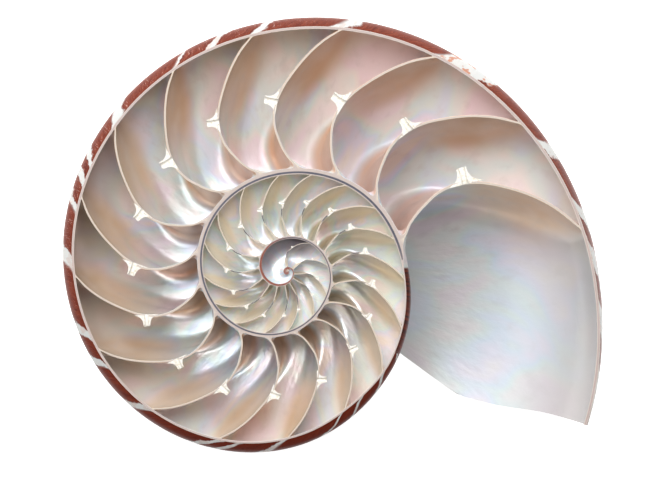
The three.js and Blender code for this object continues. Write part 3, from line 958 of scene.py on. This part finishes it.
# %% Sawn edge
sawn = Finish("sawn_edge")
wall, septum, turn = sawn.kept("wall", "septum", "turn")
grain = sawn.noise(sawn.place(), 700, 3)
lilac = sawn.mix(grain, colour(184, 160, 152), colour(178, 164, 166))
cream = colour(212, 200, 182)
edge = septum.math("ABSOLUTE").ramp(0.15, 0.7)
outer_edge = (wall + 0.5).math("ABSOLUTE").ramp(0.2, 0.42) * (1 - wall.ramp(-0.02, 0.02))
on_last_wall = 1 - wall.ramp(-0.05, 0.0)
ink = wall.ramp(0.36, 0.42) * (1 - wall.ramp(0.58, 0.66)) * turn.ramp(330, 380)
ink_colour = sawn.mix(turn.ramp(790, 860), sawn.mix(grain, colour(52, 56, 72), colour(84, 80, 92)),
                      colour(126, 56, 34))
rust = turn.ramp(790, 870) * (1 - edge) * 0.85
surface = sawn.layers(
    lilac, (0.5, colour(196, 184, 172)), (on_last_wall, lilac), (edge, cream), (outer_edge * 0.8, cream),
    (ink.math("MAXIMUM", rust), ink_colour))
sawn.bump(grain, 0.0001)
sawn.wear(Base_Color=surface, Roughness=0.36 + grain * 0.16)
print("sawn edge nodes", len(sawn.tree.nodes))

# %% [markdown]
# ## Chalk on the necks
# The necks are softer and whiter than the septa, and their cut edges crumble. A fine noise
# does for both the crumbs of colour and the small relief.

# %% Chalky necks
chalk = Finish("neck_chalk")
crumbs = chalk.noise(chalk.place(), 1600, 3, 0.6)
chalk.bump(crumbs, 0.00012)
chalk.wear(Base_Color=chalk.mix(crumbs.ramp(0.3, 0.5), colour(216, 204, 178), colour(238, 234, 226)),
           Roughness=0.3 + crumbs * 0.2)
print("chalk nodes", len(chalk.tree.nodes))

# %% [markdown]
# ## Dressing the mesh
# Each face already has the number of its finish, so the finishes only need to go into the
# mesh's slots in that order: outside, inside, sawn, chalk.

# %% Give each face its finish
finishes = [finish.material for finish in (flame, nacre, sawn, chalk)]
for material in finishes:
    mesh.materials.append(material)
print("finishes", [material.name for material in mesh.materials])

# %% [markdown]
# ## Siphon necks
# A living cord, the siphon, ran through all the septa. Round it each septum turns back into
# a short chalky tube, which the saw has split, so a half pipe stands on every septum. One
# neck is a circle, extruded and scaled ring by ring and cut in half. The bore is a second
# turned solid, cut out of necks and septa together, so they stay one piece with the shell.

# %% One neck and one bore
NECK_PLACE = 0.675
NECK_OUTSIDE = [(0.056, -0.004), (0.044, 0.001), (0.0335, 0.006), (0.0262, 0.012), (0.0212, 0.019),
                (0.018, 0.027), (0.0158, 0.036), (0.0162, 0.043), (0.0138, 0.048)]
NECK_BORE = [(0.0145, -0.020), (0.0108, -0.004), (0.0098, 0.010), (0.0094, 0.022), (0.0096, 0.032),
             (0.0112, 0.042), (0.0132, 0.060)]
NECK_SIDES, BORE_SIDES = 28, 20


def turned(name, profile, sides):
    """A closed solid of revolution about local Z, made by extruding and scaling a disc."""
    bpy.ops.object.select_all(action="DESELECT")
    bpy.ops.mesh.primitive_circle_add(
        vertices=sides, radius=profile[0][0], fill_type="NGON", location=(0, 0, profile[0][1]))
    made = bpy.context.object
    made.name = name
    bpy.ops.object.transform_apply(location=True)
    bpy.ops.object.mode_set(mode="EDIT")
    bpy.ops.mesh.select_all(action="SELECT")
    for (r0, y0), (r1, y1) in zip(profile, profile[1:]):
        bpy.ops.mesh.extrude_region_move(TRANSFORM_OT_translate={"value": (0, 0, y1 - y0)})
        bpy.ops.transform.resize(value=(r1 / r0, r1 / r0, 1), center_override=(0, 0, y1))
    bpy.ops.mesh.select_all(action="SELECT")
    bpy.ops.mesh.normals_make_consistent(inside=False)
    bpy.ops.object.mode_set(mode="OBJECT")
    return made


one_neck = turned("one_neck", NECK_OUTSIDE, NECK_SIDES)
bpy.ops.object.mode_set(mode="EDIT")
bpy.ops.mesh.select_all(action="SELECT")
bpy.ops.mesh.bisect(plane_co=(0, 0, 0), plane_no=(0, 1, 0), clear_outer=True, use_fill=True)
bpy.ops.object.mode_set(mode="OBJECT")
one_bore = turned("one_bore", NECK_BORE, BORE_SIDES)
print("neck faces", len(one_neck.data.polygons), "bore faces", len(one_bore.data.polygons))

# %% [markdown]
# ## A neck on every septum
# Each copy is moved to its own septum, tilted with its slope and scaled to the coil there. The
# noise that roughens its lip depends only on the place, so every run gives the same chips.

# %% Where a neck goes
NECK_LEAN = 0.22
NECK_BACK = 15
SIZE_SPREAD, SPREAD_STEP = 0.06, 1.7


def neck_place(ventral):
    """Matrix that takes the neck model to its septum, in the coil frame in millimetres."""
    radius = NECK_PLACE * edge_radius(ventral + NECK_BACK)
    turn = float(septum_turn(ventral, radius, 0 * radius))
    step = 0.02 * radius
    slope = math.radians(float(septum_turn(ventral, radius + step, 0 * radius)) - turn) / step
    angle = math.radians(turn)
    outward = Vector((math.cos(angle), math.sin(angle), 0))
    back = Vector((-math.sin(angle), math.cos(angle), 0))
    axis = (back - outward * (slope * radius + NECK_LEAN)).normalized()
    up = Vector((0, 0, 1))
    turning = Matrix((up.cross(axis), up, axis)).transposed().to_4x4()
    size = float(edge_radius(ventral)) * (1 + SIZE_SPREAD * math.sin(ventral * SPREAD_STEP))
    return Matrix.Translation(outward * radius) @ turning @ Matrix.Scale(size, 4)


print("first neck at mm", [round(v, 1) for v in neck_place(SEPTUM_TURNS[0]).translation])

# %% Copy, crumble and join
CHIP_START, CHIP_LENGTH = 0.03, 0.02
CHIP_FINENESS, CHIP_SIZE = 130, 0.0042
ON_THE_CUT = 1e-7


def crumble(point, ventral):
    """Breaks up the thin lip of a neck, where the chalk has worn and chipped."""
    tip = min(1, max(0, (point.z - CHIP_START) / CHIP_LENGTH))
    rough = noise.noise_vector(point * CHIP_FINENESS + Vector((ventral, 0, 0)))
    return point + rough * CHIP_SIZE * tip


def all_over(name, model, worn):
    """Copies a model to every septum and joins the copies into one object."""
    work = bmesh.new()
    for ventral in SEPTUM_TURNS:
        place = neck_place(ventral)
        first = len(work.verts)
        work.from_mesh(model.data)
        work.verts.ensure_lookup_table()
        for vert in work.verts[first:]:
            point = crumble(vert.co, ventral) if worn else vert.co
            if worn and abs(vert.co.y) < ON_THE_CUT:
                point.y = 0
            vert.co = coil_centre + lean @ (place @ point) * MM
    mesh = bpy.data.meshes.new(name)
    work.to_mesh(mesh)
    work.free()
    for material in finishes:
        mesh.materials.append(material)
    mesh.polygons.foreach_set("material_index", [CHALK] * len(mesh.polygons))
    made = bpy.data.objects.new(name, mesh)
    bpy.context.scene.collection.objects.link(made)
    return made


necks = all_over("necks", one_neck, True)
bores = all_over("bores", one_bore, False)
for model in (one_neck, one_bore):
    bpy.data.objects.remove(model)
print("necks", len(SEPTUM_TURNS), "faces", len(necks.data.polygons))

# %% Join the necks and cut their bores
for tool, operation in ((necks, "UNION"), (bores, "DIFFERENCE")):
    bpy.ops.object.select_all(action="DESELECT")
    shell.select_set(True)
    bpy.context.view_layer.objects.active = shell
    cut = shell.modifiers.new(operation.lower(), "BOOLEAN")
    cut.solver = "MANIFOLD"
    cut.operation = operation
    cut.object = tool
    bpy.ops.object.modifier_apply(modifier=cut.name)
    bpy.data.objects.remove(tool)
    print(operation, "leaves", sum(len(p.vertices) - 2 for p in shell.data.polygons), "triangles")

# %% Clear the slivers that the cuts leave
SLIVER = 1e-6
mesh = shell.data
work = bmesh.new()
work.from_mesh(mesh)
bmesh.ops.remove_doubles(work, verts=work.verts, dist=SLIVER)
bmesh.ops.dissolve_degenerate(work, edges=work.edges, dist=SLIVER)
print("open edges after cleaning", sum(len(e.link_faces) != 2 for e in work.edges))
work.to_mesh(mesh)
work.free()
print("triangles", sum(len(p.vertices) - 2 for p in mesh.polygons))

# %% Stand in for the packed solid
SMOOTH_BELOW_DEG = 38
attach(shell, "root")
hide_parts("shell_half")
bpy.ops.object.select_all(action="DESELECT")
shell.select_set(True)
bpy.context.view_layer.objects.active = shell
bpy.ops.object.shade_smooth_by_angle(angle=math.radians(SMOOTH_BELOW_DEG))
print("faces of each finish", np.bincount([p.material_index for p in mesh.polygons]).tolist())

# %% [markdown]
# ## The camera
# The photograph looks straight down on the sawn face from far away, so the camera stands along
# the face's normal with a long lens, which keeps a slight perspective into the chambers.

# %% Camera
AIM_MM = (10.7, 8.3, 0)
VIEW_WIDTH = 0.1831
LENS = 200
aim = coil_centre + lean @ Vector(AIM_MM) * MM
camera_data = bpy.data.cameras.new("camera")
camera_data.lens = LENS
camera = bpy.data.objects.new("camera", camera_data)
bpy.context.scene.collection.objects.link(camera)
distance = VIEW_WIDTH * camera_data.lens / camera_data.sensor_width
camera.matrix_world = Matrix.Translation(aim + face_normal * distance) @ lean.to_4x4()
bpy.context.scene.camera = camera
print("camera distance m", round(distance, 3))

# %% [markdown]
# ## The floor
# The shell lies on plain white paper with almost no shadow. The paper glows a little, as a lit
# table does, which keeps it evenly white.

# %% Floor
FLOOR_SIZE = 4
bpy.ops.object.select_all(action="DESELECT")
bpy.ops.mesh.primitive_plane_add(size=FLOOR_SIZE, location=(0, 0, 0))
floor = bpy.context.object
floor.name = "floor"
paper = Finish("paper", Base_Color=(0.85, 0.85, 0.85, 1), Roughness=0.9, Emission_Color=(1, 1, 1, 1),
               Emission_Strength=0.8)
floor.data.materials.append(paper.material)
print("floor", [round(v, 2) for v in floor.dimensions])

# %% [markdown]
# ## The light
# One large soft lamp high beyond the top of the picture gives the satin highlights, and a pale world
# fills the shadows. More lamps would put a second highlight into every chamber.

# %% Light
LAMP_PLACE = Vector((-0.2, 0.61, 0.77))
LAMP_TARGET = Vector((0, 0, 0.02))
LAMP_SIZE = 0.8
LAMP_POWER = 13.5
WORLD_STRENGTH = 0.27
lamp_data = bpy.data.lights.new("sky_light", "AREA")
lamp_data.size = LAMP_SIZE
lamp_data.energy = LAMP_POWER
lamp = bpy.data.objects.new("sky_light", lamp_data)
bpy.context.scene.collection.objects.link(lamp)
lamp.location = LAMP_PLACE
lamp.rotation_euler = (LAMP_TARGET - LAMP_PLACE).to_track_quat("-Z", "Y").to_euler()
world = bpy.data.worlds.new("studio")
world.use_nodes = True
world.node_tree.nodes["Background"].inputs["Color"].default_value = (1, 1, 1, 1)
world.node_tree.nodes["Background"].inputs["Strength"].default_value = WORLD_STRENGTH
bpy.context.scene.world = world
bpy.context.scene.view_settings.view_transform = "Standard"
print("lamp distance m", round((LAMP_TARGET - LAMP_PLACE).length, 2))

# %% [markdown]
# The finer shell has to stay inside the box of the packed solid.
